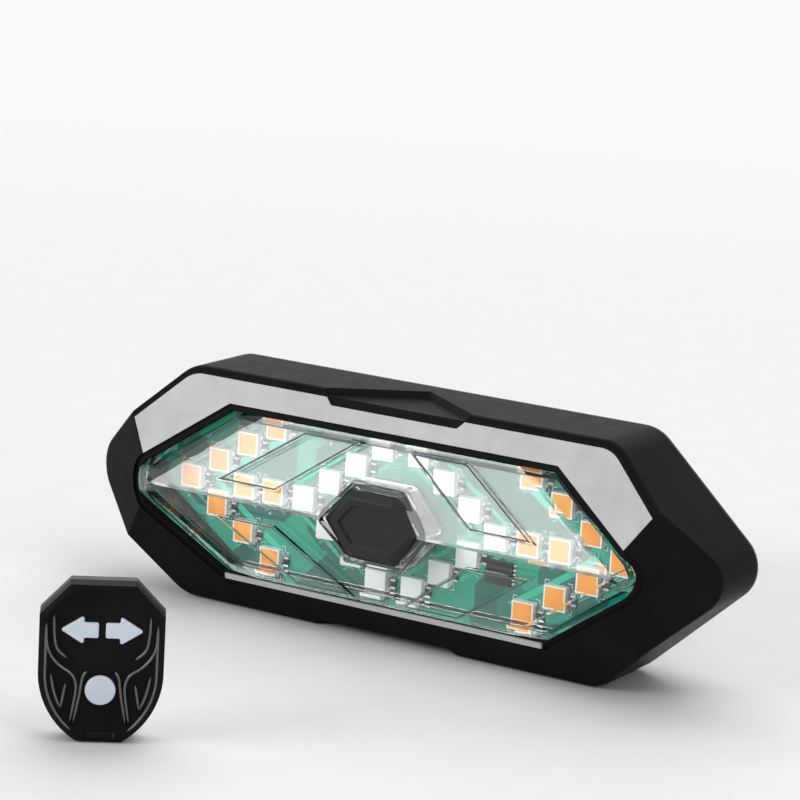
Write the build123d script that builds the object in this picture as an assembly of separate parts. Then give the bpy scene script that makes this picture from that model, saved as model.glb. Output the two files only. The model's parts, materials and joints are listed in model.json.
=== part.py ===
from build123d import *
import math
import os

# Bicycle turn signal light: a hexagonal black shell with a faceted clear lens, silver trims,
# a hexagonal push button, a lit circuit board, a rear cover with a seatpost bracket, and the
# small handlebar remote that works it. Lengths are in millimetres.
# X runs along the light, Y from its face to its back, Z is up. The light stands on its long
# lower side. The origin lies on that side, on the centre plane, near the back edge.

# Shell outline, seen from the front: a long hexagon with pointed ends
shell_half_flat = 51.0
shell_half_length = 78.4
shell_half_height = 25.4
shell_corner_radius = 8.0
shell_tip_radius = 7.5
shell_wall = 2.2
shell_rim_radius = 1.5

# Shell depth: the window plane passes through the long edges of the window
shell_depth = 22.0
origin_inset = 4.0
front_wall_depth = 4.5
face_slope_share = 0.387
tip_slope_share = 0.585
tip_face_inset = 12.1

# Window in the face: the frame's widths around it, and a sunk ledge inside them
frame_flat_width = 11.5
frame_tip_width = 12.1
frame_height = 6.4
window_tip_radius = 6.5
window_corner_radius = 1.0
ledge_width = 1.5
ledge_depth = 0.75

# Shallow triangular recess in the middle of the upper and lower sides
recess_half_width = 16.5
recess_length = 12.0
recess_depth = 1.4
recess_draft_deg = 40.0

# Silver trims
trim_thickness = 0.6
trim_edge_inset = 1.6
trim_corner_radius = 6.5
trim_notch_half_width = 16.6
trim_notch_depth = 1.5
trim_notch_slant = 1.5
trim_end_gap = 0.4
strip_width = 1.2
fit_gap = 0.05

# Clear lens: a low roof with its ridge along the middle, bevelled towards the window's ends
lens_wall = 2.0
lens_gap = 0.1
lens_ridge_height = 6.2
lens_slope_share = 0.36
lens_bevel_inset = 10.8
lens_bevel_slope_share = 0.2
lens_tip_inset = 11.2
lens_flange_width = 2.0
lens_flange_thickness = 1.2

# Raised lens panels, four slanted tiles that form outward chevrons
panel_height = 0.9
panel_low_shares = (0.592, 0.975)
panel_high_shares = (0.142, 0.494)
panel_rise_shares = (0.195, 0.868)

# Power button and the collar that it slides in
button_corner_radius = 0.6
button_half_length = 11.6
button_half_flat = 5.7
button_half_height = 7.0
button_front = 5.6
button_bevel = 1.5
button_bevel_height = 1.2
button_dish_inset = 2.9
button_dish_depth = 0.5
button_flange_width = 1.4
button_flange_thickness = 1.0
button_travel = 0.6
button_gap = 0.3
collar_wall = 1.2
collar_front = 4.4
sleeve_back = 2.0

# Light emitting diodes, all one package size, placed by shares of the window
diode_size_share = 0.0754
diode_height = 1.6
diode_dish_inset = 0.6
diode_dish_depth = 0.25
diode_front = 5.85
diode_rise_share = 0.245
amber_tip_share = 0.787
amber_middle_shares = (0.579, 0.468)
amber_pitch_share = 0.265
amber_rows = 4
white_tip_share = 0.353
white_pitch_share = 0.2705
white_rows = 4

# Main board and the pieces soldered to it
board_thickness = 1.6
board_gap = 0.6
resistor_size = (1.1, 0.6, 2.0)
resistor_gap = 0.7
chip_size = (6.0, 1.1, 4.6)
chip_gap = 0.25
chip_rise = -6.6
switch_size = 6.0
switch_height = 2.4
plunger_radius = 1.75
plunger_gap = 0.08
plunger_floor = 0.9

# Long rear screws: they pass the cover's pillars and the board and bite in the shell's bosses
screw_inset = (2.0, 5.6)
screw_radius = 1.0
screw_sink = 0.3
screw_head_radius = 1.9
screw_head_height = 1.2
screw_bite = 2.2
screw_gap = 0.2
thread_gap = 0.02
boss_radius = 2.2
pillar_radius = 3.0

# Rear cover: a rim plate, a shallow pan that holds the battery, and a sealed spigot
rim_plate = 1.4
seal_width = 1.2
seal_depth = 1.0
spigot_wall = 2.2
spigot_length = 3.4
rear_edge_chamfer = 0.8
pan_inset = 8.0
pan_depth = 4.5
pan_draft_deg = 18.4
pan_wall = 2.0

# Battery, its foam pad, its plug and its two wires, and the radio module beside them
battery_thickness = 8.0
battery_margin = (28.0, 15.4)
battery_corner_radius = 1.5
foam_thickness = 1.0
foam_border = 3.0
plug_size = (7.0, 4.5, 8.0)
plug_distance = 9.5
wire_radius = 0.6
wire_spacing = 3.0
wire_inset = 3.0
radio_size = (16.0, 0.8, 11.0)
radio_place = (18.0, 6.0)
radio_can_size = (10.0, 1.6, 8.0)

# Charging port with its small board, socket and rubber flap
port_inset = (17.0, 15.0)
port_size = (9.6, 3.8)
port_corner_radius = 1.8
socket_size = (8.9, 7.3, 3.2)
socket_corner_radius = 1.5
socket_wall = 0.35
socket_depth = 6.5
tongue_size = (6.7, 4.5, 0.7)
charge_board_size = (14.0, 11.0, 1.0)
charge_board_gap = 0.3
shelf_width = 1.4
shelf_height = 2.6
header_radius = 0.35
header_pitch = 2.54
header_count = 4
flap_size = (14.4, 0.9, 7.8)
flap_gap = 0.3
flap_back_gap = 0.1
flap_lip_depth = 0.8
flap_lip_gap = 0.4
flap_corner_radius = 1.2

# Slide rails on the cover and the bracket that hooks into them
rail_half_gap = 7.0
rail_web = 2.2
rail_height = 3.6
rail_lip = 1.8
rail_lip_thickness = 1.3
rail_length = 17.5
rail_bottom = -6.5
rail_stop = 2.0
slide_gap = 0.15
plate_width = 26.0
plate_height = 22.0
plate_thickness = 3.0
plate_gap = 0.3
plate_corner_radius = 3.0

# Seatpost saddle, its rubber pad and the strap that closes round the post
post_radius = 15.8
pad_rubber = 2.0
pad_half_angle = 66.0
saddle_height = 20.0
saddle_web = 1.0
arm_wall = 3.0
arm_half_angle = 72.0
eye_radius = 2.6
eye_angle = 82.0
lug_thickness = 3.0
strap_thickness = 2.5
strap_width = 12.0
strap_gap = 0.3
strap_post_gap = 0.15
tab_half_thickness = 1.0
tab_reach = 2.8
tab_length = 7.5
pin_radius = 1.2
pin_gap = 0.08

# Remote, a shield shape that stands on its flat lower end, turned towards the viewer
remote_place = (-4.1, -108.3)
remote_turn_deg = 36.0
remote_height = 29.8
remote_half_width = 11.5
remote_half_top = 6.0
remote_half_base = 4.2
remote_shoulder = 24.0
remote_curve_start = 13.2
remote_wall = 1.2
remote_bevel = 0.9
remote_back_chamfer = 0.8
remote_solid_end = 3.3
remote_rib_width = 0.45
remote_rib_height = 0.3
remote_slot = (5.9, 1.35)
remote_slot_height = 1.4

# Remote keys: two arrows and a round one, each on a flange under the front wall
arrow_tip = 7.65
arrow_head_back = 3.3
arrow_head_half = 2.75
arrow_shaft_end = 0.65
arrow_shaft_half = 1.45
arrow_height = 21.6
arrow_corner_radius = 0.35
arrow_stem_place = 4.3
round_key_radius = 2.8
round_key_height = 10.2
key_proud = 0.5
key_edge_radius = 0.2
key_gap = 0.1
key_flange_width = 0.4
key_flange_thickness = 0.6
key_stem_radius = 1.0
key_stem_length = 0.5
key_travel = 0.4
key_stop_gap = 0.1
tact_size = 3.0
tact_height = 0.8
tact_cap_radius = 0.8
tact_cap_height = 0.2

# Remote inner pieces and the coin cell behind its turning door
remote_board_thickness = 0.8
remote_board_gap = 0.3
cell_radius = 8.0
cell_thickness = 1.6
cell_height = 15.9
cell_cap_radius = 7.0
cell_step = 0.3
well_gap = 0.3
well_outer_radius = 10.4
contact_thickness = 0.3
contact_size = (12.0, 5.0)
contact_slot = (8.0, 1.6)
door_radius = 8.9
door_thickness = 1.0
door_gap = 0.1
door_seal_thickness = 0.4
door_lug_reach = 0.5
door_lug_half_angle = 9.0
door_lug_thickness = 0.4
door_lug_gap = 0.1
door_turn_deg = 35.0
door_entry_half_angle = 11.0
coin_slot = (11.0, 1.6)
coin_slot_depth = 0.5
remote_screw_offset = 11.6
remote_screw_radius = 0.7
remote_screw_head_radius = 1.2
remote_screw_head_height = 0.8
remote_boss_radius = 1.5
remote_screw_bite = 2.2

# Raised lines on the remote's face, as shares of its half width and its height
rib_line_shares = [
    [(0.765, 0.825), (0.735, 0.648), (0.525, 0.538)],
    [
        (0.885, 0.775), (0.85, 0.600), (0.665, 0.497), (0.463, 0.440),
        (0.392, 0.377), (0.40, 0.299), (0.475, 0.12),
    ],
    [(0.22, 0.465), (0.29, 0.418), (0.42, 0.12)],
    [(0.80, 0.45), (0.625, 0.217), (0.55, 0.387)],
]

# Length that a cutter runs past the faces that it opens, and the slope below which a face is a side
overrun = 2.0
side_face_share = 0.02

# Sizes and places that follow from the sizes above
window_half_flat = shell_half_flat - frame_flat_width
window_half_length = shell_half_length - frame_tip_width
window_half_height = shell_half_height - frame_height
tip_face_start = window_half_length - tip_face_inset
lens_bevel_start = window_half_length - lens_bevel_inset
lens_tip_start = window_half_length - lens_tip_inset
diode_size = diode_size_share * window_half_length
amber_tip = amber_tip_share * window_half_length
amber_pitch = amber_pitch_share * (window_half_length - window_half_flat)
white_tip = white_tip_share * window_half_length
white_pitch = white_pitch_share * white_tip
resistor_offset = (diode_size + resistor_size[0]) / 2 + resistor_gap
chip_offset = resistor_offset + (resistor_size[0] + chip_size[0]) / 2 + chip_gap
screw_place = (shell_half_flat - screw_inset[0], shell_half_height - screw_inset[1])
port_place = (shell_half_flat - port_inset[0], port_inset[1] - shell_half_height)
battery_width = 2 * (shell_half_flat - battery_margin[0])
battery_height = 2 * (shell_half_height - battery_margin[1])
battery_size = (battery_width, battery_thickness, battery_height)
face_y = origin_inset - shell_depth
back_y = origin_inset
mid_z = shell_half_height
ridge_y = face_y - face_slope_share * window_half_height
front_y = ridge_y - overrun
cavity_y = face_y + front_wall_depth
seam_y = back_y - rim_plate
lens_ridge_y = face_y - lens_ridge_height
flange_back_y = cavity_y + lens_flange_thickness
board_front_y = face_y + diode_front + diode_height
board_back_y = board_front_y + board_thickness
pan_back_y = back_y + pan_depth
pan_floor_y = pan_back_y - pan_wall
battery_back_y = pan_floor_y - foam_thickness
battery_front_y = battery_back_y - battery_size[1]
charge_board_back_y = pan_floor_y - charge_board_gap
charge_board_front_y = charge_board_back_y - charge_board_size[1]
charge_board_z = port_place[1] - (socket_size[2] + charge_board_size[2]) / 2
rail_back_y = pan_back_y + rail_height
tongue_length = rail_length - rail_stop - fit_gap
plate_front_y = rail_back_y + plate_gap
plate_back_y = plate_front_y + plate_thickness
saddle_radius = post_radius + pad_rubber
post_y = plate_back_y + saddle_web + saddle_radius
saddle_z = rail_bottom + plate_height / 2
eye_distance = post_radius + strap_gap + eye_radius
flange_front_y = remote_wall + key_gap
stem_end_y = flange_front_y + key_flange_thickness + key_stem_length
tact_front_y = stem_end_y + key_travel + key_stop_gap + tact_cap_height
remote_board_y = tact_front_y + tact_height
parting_y = remote_board_y + remote_board_thickness
cell_y = parting_y + contact_thickness + fit_gap
door_step_y = cell_y + cell_thickness - contact_thickness / 2
door_y = door_step_y + door_seal_thickness
remote_depth = door_y + door_thickness


def at_y(y):
    """Plane that faces the viewer, its centre on the light's middle line."""
    return Plane(origin=(0, y, mid_z), x_dir=(1, 0, 0), z_dir=(0, -1, 0))


def slab(sketch, front, back):
    """Sketch of the front view, made solid between two depths."""
    return extrude(at_y(back) * sketch, back - front)


def box_at(size, x, front, z):
    """Box by its width, depth and height, with its front face at a depth."""
    width, depth, height = size
    return slab(Pos(x, z) * Rectangle(width, height), front, front + depth)


def rod_at(radius, x, z, front, back):
    """Round rod along the depth."""
    return slab(Pos(x, z) * Circle(radius), front, back)


def hexagon(half_flat, half_length, half_height, tip_radius, corner_radius, inset=0.0):
    """Pointed hexagon with rounded corners, moved inwards by an even inset."""
    run = half_length - half_flat
    half_tip_angle = math.atan2(half_height, run)
    height = half_height - inset
    length = half_length - inset / math.sin(half_tip_angle)
    flat = length - run / half_height * height
    points = [(-length, 0), (-flat, height), (flat, height), (length, 0), (flat, -height), (-flat, -height)]
    radii = [tip_radius, corner_radius, corner_radius] * 2
    return make_face(FilletPolyline(*points, radius=radii, close=True))


def shell_outline(inset=0.0):
    tip_radius = max(shell_tip_radius - inset, shell_tip_radius / 2)
    corner_radius = max(shell_corner_radius - inset, shell_corner_radius / 4)
    return hexagon(shell_half_flat, shell_half_length, shell_half_height, tip_radius, corner_radius, inset)


def window_outline(inset=0.0):
    tip_radius = window_tip_radius - inset
    corner_radius = max(window_corner_radius - inset, window_corner_radius / 4)
    sizes = (window_half_flat, window_half_length, window_half_height)
    return hexagon(*sizes, tip_radius, corner_radius, inset)


def button_outline(inset=0.0):
    radius = max(button_corner_radius - inset, button_corner_radius / 2)
    return hexagon(button_half_flat, button_half_length, button_half_height, radius, radius, inset)


def roof_plane(ridge, slope, side, sink=0.0):
    """Plane that falls back from the middle line, up (side 1) or down (side -1)."""
    return Plane(origin=(0, ridge + sink, mid_z), z_dir=(0, -1, side * slope))


def gable_plane(ridge, start, slope, side, sink=0.0):
    """Plane that falls back towards one pointed end."""
    return Plane(origin=(side * start, ridge + sink, mid_z), z_dir=(side * slope, -1, 0))


def keep_behind(shape, planes):
    for plane in planes:
        shape = split(shape, bisect_by=plane, keep=Keep.BOTTOM)
    return shape


def keep_before(shape, plane):
    return split(shape, bisect_by=plane, keep=Keep.TOP)


def shell_planes(sink=0.0):
    roofs = [roof_plane(ridge_y, face_slope_share, side, sink) for side in (1, -1)]
    gables = [gable_plane(ridge_y, tip_face_start, tip_slope_share, side, sink) for side in (1, -1)]
    return roofs + gables


def lens_planes(sink=0.0):
    edge_run = (window_half_length - window_half_flat) / window_half_height
    bevel_rise = lens_slope_share + lens_bevel_slope_share * edge_run
    planes = [roof_plane(lens_ridge_y, lens_slope_share, side, sink) for side in (1, -1)]
    for side in (1, -1):
        planes.append(gable_plane(lens_ridge_y, lens_tip_start, tip_slope_share, side, sink))
        origin = (side * lens_bevel_start, lens_ridge_y + sink, mid_z)
        for up in (1, -1):
            planes.append(Plane(origin=origin, z_dir=(side * lens_bevel_slope_share, -1, up * bevel_rise)))
    return planes


def four_corners(place):
    return [(x * place[0], z * place[1]) for x in (1, -1) for z in (1, -1)]


def trim_sketch(grow=0.0):
    """Upper silver arch: the face between window and rim, down to the end creases."""
    outer = hexagon(
        shell_half_flat, shell_half_length, shell_half_height,
        shell_tip_radius, trim_corner_radius, trim_edge_inset - grow,
    )
    crease_share = face_slope_share / tip_slope_share
    low_x = tip_face_start - trim_end_gap + grow
    high_x = low_x + crease_share * shell_half_height
    upper = make_face(Polyline(
        (-low_x, 0), (-high_x, shell_half_height), (high_x, shell_half_height), (low_x, 0), close=True,
    ))
    edge = shell_half_height - trim_edge_inset + grow
    floor = edge - trim_notch_depth
    half = trim_notch_half_width - grow
    notch = make_face(Polyline(
        (-half - overrun, edge + overrun), (-half, edge), (trim_notch_slant - half, floor),
        (half - trim_notch_slant, floor), (half, edge), (half + overrun, edge + overrun), close=True,
    ))
    return (outer & upper) - window_outline(grow) - notch


def strip_sketch(grow=0.0):
    """Lower silver strip, which lies on the ledge along the window's lower side."""
    low = fit_gap - grow - window_half_height
    half_length = window_half_flat - window_corner_radius + grow
    return Pos(0, low + strip_width / 2 + grow) * Rectangle(2 * half_length, strip_width + 2 * grow)


def side_recess(side):
    """Cutter for the triangular recess, its floor parallel to the upper or lower side."""
    rim_y = ridge_y + face_slope_share * shell_half_height
    outline = make_face(Polyline(
        (-recess_half_width, rim_y - overrun), (-recess_half_width, rim_y), (0, rim_y + recess_length),
        (recess_half_width, rim_y), (recess_half_width, rim_y - overrun), close=True,
    ))
    floor_z = mid_z + side * (shell_half_height - recess_depth)
    floor = Plane(origin=(0, 0, floor_z), x_dir=(1, 0, 0), z_dir=(0, 0, side))
    outline = outline if side > 0 else mirror(outline, about=Plane.XZ)
    return extrude(floor * outline, recess_depth + overrun, taper=-recess_draft_deg)


def front_bezel():
    body = keep_behind(slab(shell_outline(), front_y, seam_y), shell_planes())
    sides = [f for f in body.faces() if abs(f.normal_at().Y) < side_face_share]
    fronts = [f for f in body.faces() if f.normal_at().Y < -side_face_share]
    side_edges = [e for f in sides for e in f.edges()]
    front_edges = [e for f in fronts for e in f.edges()]
    rim = [e for e in side_edges if any(e.is_same(other) for other in front_edges)]
    body = fillet(rim, shell_rim_radius)
    body -= slab(shell_outline(shell_wall), cavity_y, seam_y + overrun)
    sunk = slab(window_outline(), front_y, cavity_y)
    body -= sunk - keep_behind(sunk, shell_planes(ledge_depth))
    body -= slab(window_outline(ledge_width), front_y, cavity_y + overrun)
    pocket = slab(trim_sketch(fit_gap), front_y, cavity_y)
    body -= keep_before(pocket, roof_plane(ridge_y, face_slope_share, 1, trim_thickness))
    for side in (1, -1):
        body -= side_recess(side)
    for x, z in four_corners(screw_place):
        body += rod_at(boss_radius, x, z, cavity_y, board_front_y)
        body -= rod_at(screw_radius + thread_gap, x, z, board_front_y - screw_bite, seam_y)
    return body


def upper_trim():
    plate = slab(trim_sketch(), front_y, cavity_y)
    plate = keep_behind(plate, [roof_plane(ridge_y, face_slope_share, 1)])
    return keep_before(plate, roof_plane(ridge_y, face_slope_share, 1, trim_thickness))


def lower_trim():
    plate = slab(strip_sketch(), front_y, cavity_y)
    plate = keep_behind(plate, [roof_plane(ridge_y, face_slope_share, -1)])
    return keep_before(plate, roof_plane(ridge_y, face_slope_share, -1, ledge_depth))


def panel_corners():
    """Corners of the upper right panel, as a slanted four-sided tile."""
    low_z, high_z = [share * window_half_height for share in panel_rise_shares]
    low = [(share * window_half_flat, low_z) for share in panel_low_shares]
    high = [(share * window_half_flat, high_z) for share in panel_high_shares]
    return low + high[::-1]


def lens_panels():
    """Raised tiles, sunk half a wall deep into the lens that carries them."""
    tiles = []
    for side_x in (1, -1):
        for side_z in (1, -1):
            points = [(side_x * x, side_z * z) for x, z in panel_corners()]
            tile = slab(make_face(Polyline(*points, close=True)), front_y - overrun, face_y + overrun)
            tile = keep_behind(tile, [roof_plane(lens_ridge_y, lens_slope_share, side_z, -panel_height)])
            base = roof_plane(lens_ridge_y, lens_slope_share, side_z, lens_wall / 2)
            tiles.append(keep_before(tile, base))
    return tiles


def lens():
    inset = ledge_width + lens_gap
    body = keep_behind(slab(window_outline(inset), front_y, flange_back_y), lens_planes())
    body += slab(window_outline(inset - lens_flange_width), cavity_y, flange_back_y)
    inner = slab(window_outline(inset + lens_wall), front_y, flange_back_y + overrun)
    body -= keep_behind(inner, lens_planes(lens_wall))
    for tile in lens_panels():
        body += tile
    collar = button_outline(-button_gap - collar_wall)
    body += slab(collar, face_y - collar_front, face_y + sleeve_back)
    return body - slab(button_outline(-button_gap), front_y - overrun, seam_y)


def lens_gasket():
    ring = window_outline(ledge_width + lens_gap - lens_flange_width) - window_outline(ledge_width)
    return slab(ring, flange_back_y, board_front_y)


def power_button():
    front = face_y - button_front
    shoulder = front + button_bevel_height
    flange_front = face_y + sleeve_back + button_gap
    cap = loft([at_y(shoulder) * button_outline(), at_y(front) * button_outline(button_bevel)])
    cap += slab(button_outline(), shoulder, flange_front)
    cap += slab(button_outline(-button_flange_width), flange_front, flange_front + button_flange_thickness)
    return cap - slab(button_outline(button_dish_inset), front - overrun, front + button_dish_depth)


def plunger_span():
    """Depths of the switch plunger, from the button's flange to its end in the switch."""
    front = face_y + sleeve_back + button_gap + button_flange_thickness
    back = board_front_y - plunger_floor - button_travel - plunger_gap
    return front, back


def switch_plunger():
    return rod_at(plunger_radius, 0, 0, *plunger_span())


def button_switch():
    case = box_at((switch_size, switch_height, switch_size), 0, board_front_y - switch_height, 0)
    top = board_front_y - switch_height - overrun
    return case - rod_at(plunger_radius + plunger_gap, 0, 0, top, board_front_y - plunger_floor)


def led_board():
    plate = slab(shell_outline(shell_wall + board_gap), board_front_y, board_back_y)
    for x, z in four_corners(screw_place):
        plate -= rod_at(screw_radius + screw_gap, x, z, board_front_y - overrun, board_back_y + overrun)
    return plate


def mirrored_rows(tip, pitch, rows):
    """Places along the two arms of an arrow, at both ends of the light."""
    rise = diode_rise_share * window_half_height
    places = []
    for side in (-1, 1):
        places.append((side * tip, 0.0))
        for row in range(1, rows):
            for up in (1, -1):
                places.append((side * (tip - row * pitch), up * row * rise))
    return places


def amber_places():
    middle = [(side * share * window_half_length, 0.0) for side in (-1, 1) for share in amber_middle_shares]
    return mirrored_rows(amber_tip, amber_pitch, amber_rows) + middle


def white_places():
    return mirrored_rows(white_tip, white_pitch, white_rows)


def diode(x, z):
    front = board_front_y - diode_height
    dish = diode_size - 2 * diode_dish_inset
    body = box_at((diode_size, diode_height, diode_size), x, front, z)
    return body - box_at((dish, diode_dish_depth, dish), x, front, z)


def group(pieces):
    return Compound(list(pieces))


def resistors():
    front = board_front_y - resistor_size[1]
    return group(
        box_at(resistor_size, x + resistor_offset, front, z) for x, z in amber_places() + white_places()
    )


def control_chip():
    across = white_tip - white_pitch + chip_offset
    return box_at(chip_size, across, board_front_y - chip_size[1], chip_rise)


def radio_module():
    plate = box_at(radio_size, radio_place[0], board_back_y, radio_place[1])
    can_front = board_back_y + radio_size[1]
    return plate + box_at(radio_can_size, radio_place[0], can_front, radio_place[1])


def rounded_box(size, radius, x, front, z):
    """Box with rounded corners in the front view."""
    width, depth, height = size
    return slab(Pos(x, z) * RectangleRounded(width, height, radius), front, front + depth)


def pan_shape(inset, front, back):
    """Raised back of the cover, its sides drawn in towards its floor."""
    plane = Plane(origin=(0, front, mid_z), x_dir=(1, 0, 0), z_dir=(0, 1, 0))
    return extrude(plane * shell_outline(pan_inset + inset), back - front, taper=pan_draft_deg)


def seal_ring(front, back):
    outer = shell_wall + fit_gap
    return slab(shell_outline(outer) - shell_outline(outer + seal_depth), front, back)


def housing_seal():
    middle = seam_y - spigot_length / 2
    return seal_ring(middle - seal_width / 2, middle + seal_width / 2)


def cover_rails():
    """Two hooked rails on the back, closed by a stop at their upper end."""
    middle = rail_bottom + rail_length / 2
    lip_y = rail_back_y - rail_lip_thickness
    web_size = (rail_web, rail_height, rail_length)
    lip_size = (rail_lip, rail_lip_thickness, rail_length)
    stop_size = (2 * (rail_half_gap + rail_web), rail_height, rail_stop)
    rails = box_at(stop_size, 0, pan_back_y, rail_bottom + rail_length - rail_stop / 2)
    for side in (1, -1):
        rails += box_at(web_size, side * (rail_half_gap + rail_web / 2), pan_back_y, middle)
        rails += box_at(lip_size, side * (rail_half_gap - rail_lip / 2), lip_y, middle)
    return rails


def charge_shelf():
    """Two ribs inside the cover that carry the small charging board."""
    depth = pan_back_y - pan_wall / 2 - charge_board_front_y
    size = (shelf_width, depth, shelf_height)
    reach = (charge_board_size[0] - shelf_width) / 2
    z = charge_board_z - (charge_board_size[2] + shelf_height) / 2
    return [box_at(size, port_place[0] + side * reach, charge_board_front_y, z) for side in (1, -1)]


def rear_housing():
    body = slab(shell_outline(), seam_y, back_y)
    back_edges = body.faces().sort_by(Axis.Y)[-1].edges()
    body = chamfer(back_edges, rear_edge_chamfer)
    body += pan_shape(0, back_y, pan_back_y)
    outer = shell_wall + fit_gap
    spigot = shell_outline(outer) - shell_outline(outer + spigot_wall)
    body += slab(spigot, seam_y - spigot_length, seam_y)
    for x, z in four_corners(screw_place):
        body += rod_at(pillar_radius, x, z, board_back_y, back_y)
    body -= housing_seal()
    body -= pan_shape(pan_wall, seam_y, pan_floor_y)
    body -= slab(shell_outline(pan_inset + pan_wall), seam_y - overrun, seam_y)
    for x, z in four_corners(screw_place):
        floor = back_y - screw_sink - screw_head_height
        body -= rod_at(screw_radius + screw_gap, x, z, board_back_y - overrun, back_y)
        body -= rod_at(screw_head_radius + screw_gap, x, z, floor, back_y + overrun)
    body += cover_rails()
    for rib in charge_shelf():
        body += rib
    width, depth, height = flap_size
    seat = (width + 2 * flap_gap, depth + flap_back_gap + overrun, height + 2 * flap_gap)
    seat_y = pan_back_y - depth - flap_back_gap
    body -= rounded_box(seat, flap_corner_radius + flap_gap, port_place[0], seat_y, port_place[1])
    hole = (port_size[0], pan_wall + overrun, port_size[1])
    return body - rounded_box(hole, port_corner_radius, port_place[0], pan_floor_y - overrun, port_place[1])


def rear_screws():
    seat = back_y - screw_sink - screw_head_height
    screws = []
    for x, z in four_corners(screw_place):
        shaft = rod_at(screw_radius, x, z, board_front_y - screw_bite, seat)
        head = rod_at(screw_head_radius, x, z, seat, seat + screw_head_height)
        socket = slab(Pos(x, z) * RegularPolygon(screw_radius, 6), seat + screw_head_height / 2, back_y)
        screws.append(shaft + head - socket)
    return group(screws)


def battery():
    return rounded_box(battery_size, battery_corner_radius, 0, battery_front_y, 0)


def battery_foam():
    width, _, height = battery_size
    size = (width - 2 * foam_border, foam_thickness, height - 2 * foam_border)
    return rounded_box(size, battery_corner_radius, 0, battery_back_y, 0)


def battery_plug():
    return box_at(plug_size, -battery_size[0] / 2 - plug_distance, board_back_y, 0)


def battery_wires():
    """Two wires from the battery's end, bent forwards into the plug."""
    start_x = -battery_size[0] / 2
    wires = []
    for side in (1, -1):
        z = mid_z + side * wire_spacing / 2
        y = battery_back_y - wire_inset
        points = [(start_x, y, z), (start_x - plug_distance, y, z)]
        points.append((start_x - plug_distance, board_back_y + plug_size[1], z))
        profile = Plane(origin=points[0], z_dir=(-1, 0, 0)) * Circle(wire_radius)
        wires.append(sweep(profile, path=Polyline(*points), transition=Transition.RIGHT))
    return group(wires)


def charge_board():
    return box_at(charge_board_size, port_place[0], charge_board_front_y, charge_board_z)


def board_header():
    """Pins between the main board's back and the charging board's edge."""
    pins = []
    for index in range(header_count):
        x = port_place[0] + (index - (header_count - 1) / 2) * header_pitch
        pins.append(rod_at(header_radius, x, charge_board_z, board_back_y, charge_board_front_y))
    return group(pins)


def usb_socket():
    front = pan_floor_y - socket_size[1]
    case = rounded_box(socket_size, socket_corner_radius, port_place[0], front, port_place[1])
    inner = (socket_size[0] - 2 * socket_wall, socket_depth + overrun, socket_size[2] - 2 * socket_wall)
    radius = socket_corner_radius - socket_wall
    return case - rounded_box(inner, radius, port_place[0], pan_floor_y - socket_depth, port_place[1])


def usb_tongue():
    return box_at(tongue_size, port_place[0], pan_floor_y - socket_depth, port_place[1])


def usb_cover():
    """Rubber flap with a lip that closes the charging port."""
    flap_y = pan_back_y - flap_size[1]
    cover = rounded_box(flap_size, flap_corner_radius, port_place[0], flap_y, port_place[1])
    width, height = [length - 2 * flap_lip_gap for length in port_size]
    lip = (width, flap_lip_depth, height)
    radius = port_corner_radius - flap_lip_gap
    return cover + rounded_box(lip, radius, port_place[0], flap_y - flap_lip_depth, port_place[1])


def ring_sector(inner, outer, middle, half_angle):
    """Part of a flat ring, centred on an angle and reaching as far to both sides."""
    start = middle - half_angle
    arcs = [CenterArc((0, 0), radius, start, 2 * half_angle) for radius in (inner, outer)]
    ends = [Line(arcs[0] @ share, arcs[1] @ share) for share in (0, 1)]
    return make_face(arcs + ends)


def round_post(sketch, height, z=0.0):
    """Sketch of the plan view round the post, made solid upwards and downwards from a height."""
    plane = Plane(origin=(0, post_y, mid_z + saddle_z + z))
    return extrude(plane * sketch, height / 2, both=True)


def eye_centre(side):
    angle = math.radians(eye_angle)
    return side * eye_distance * math.sin(angle), -eye_distance * math.cos(angle)


def mount_bracket():
    middle = rail_bottom + tongue_length / 2
    head_front = pan_back_y + slide_gap
    head_back = rail_back_y - rail_lip_thickness - slide_gap
    head_size = (2 * (rail_half_gap - slide_gap), head_back - head_front, tongue_length)
    neck_size = (2 * (rail_half_gap - rail_lip - slide_gap), plate_front_y - head_back, tongue_length)
    body = box_at(head_size, 0, head_front, middle) + box_at(neck_size, 0, head_back, middle)
    plate_size = (plate_width, plate_thickness, plate_height)
    body += rounded_box(plate_size, plate_corner_radius, 0, plate_front_y, saddle_z)
    arm_radius = saddle_radius + arm_wall
    body += round_post(ring_sector(saddle_radius, arm_radius, -90, arm_half_angle), saddle_height)
    lug = ring_sector(saddle_radius, arm_radius, -90, eye_angle)
    for side in (1, -1):
        lug += Pos(*eye_centre(side)) * Circle(eye_radius)
    for side in (1, -1):
        lug -= Pos(*eye_centre(side)) * Circle(pin_radius)
    offset_z = strap_width / 2 + strap_gap + lug_thickness / 2
    for side in (1, -1):
        body += round_post(lug, lug_thickness, side * offset_z)
    return body


def saddle_pad():
    return round_post(ring_sector(post_radius, saddle_radius, -90, pad_half_angle), saddle_height)


def strap_pins():
    length = strap_width + 2 * (strap_gap + lug_thickness)
    return group(round_post(Pos(*eye_centre(side)) * Circle(pin_radius), length) for side in (1, -1))


def capsule(start, end, radius):
    ends = [Pos(*point) * Circle(radius) for point in (start, end)]
    return make_hull(ends[0].edges() + ends[1].edges())


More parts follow.
